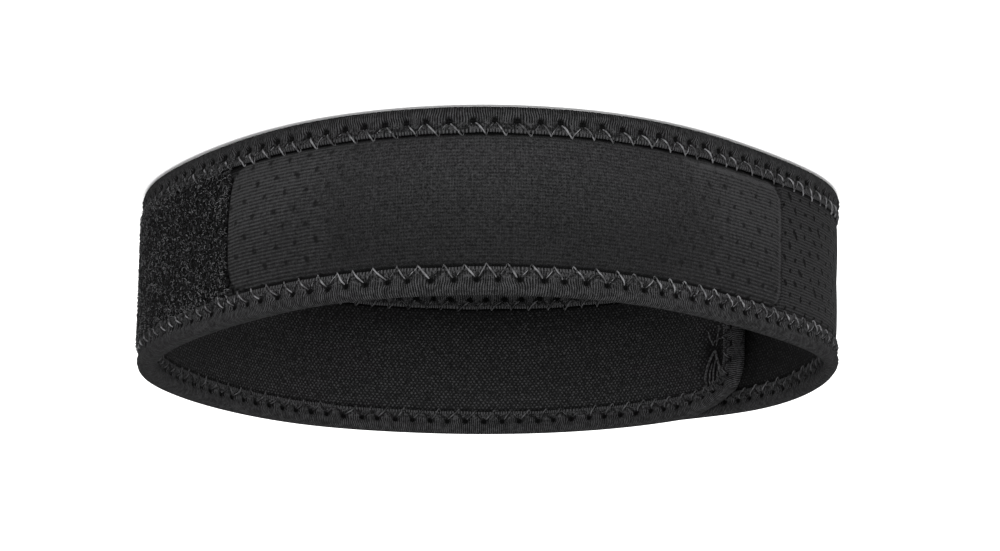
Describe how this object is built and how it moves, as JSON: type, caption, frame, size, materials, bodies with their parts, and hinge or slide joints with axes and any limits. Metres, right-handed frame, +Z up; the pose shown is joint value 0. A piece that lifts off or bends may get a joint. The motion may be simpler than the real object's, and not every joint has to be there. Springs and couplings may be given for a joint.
{
  "type": "patella strap",
  "caption": "Padded neoprene strap worn below the kneecap, taped edges, closed into a round loop by a hook tab on a pile facing.",
  "frame": {"origin": "on the resting plane, under the middle of the closed loop's footprint", "axes": "+Z up, out of the loop; -Y towards the padded front; the pile-faced side is at +X and the plain knit side at -X"},
  "size_m": [0.133, 0.153, 0.0333],
  "materials": {
    "knit_band": "black knit laminated on neoprene foam",
    "edge_tape": "black cross-ribbed folded tape, zigzag sewn",
    "loop_pile": "black brushed loop pile",
    "pad_knit": "black fine-ribbed knit over a soft pad",
    "hook_strip": "black moulded hook strip"
  },
  "bodies": {
    "root": {"strap_band": "knit_band", "edge_binding": "edge_tape", "loop_facing": "loop_pile", "front_pad": "pad_knit", "hook_patch": "hook_strip"}
  },
  "joints": []
}
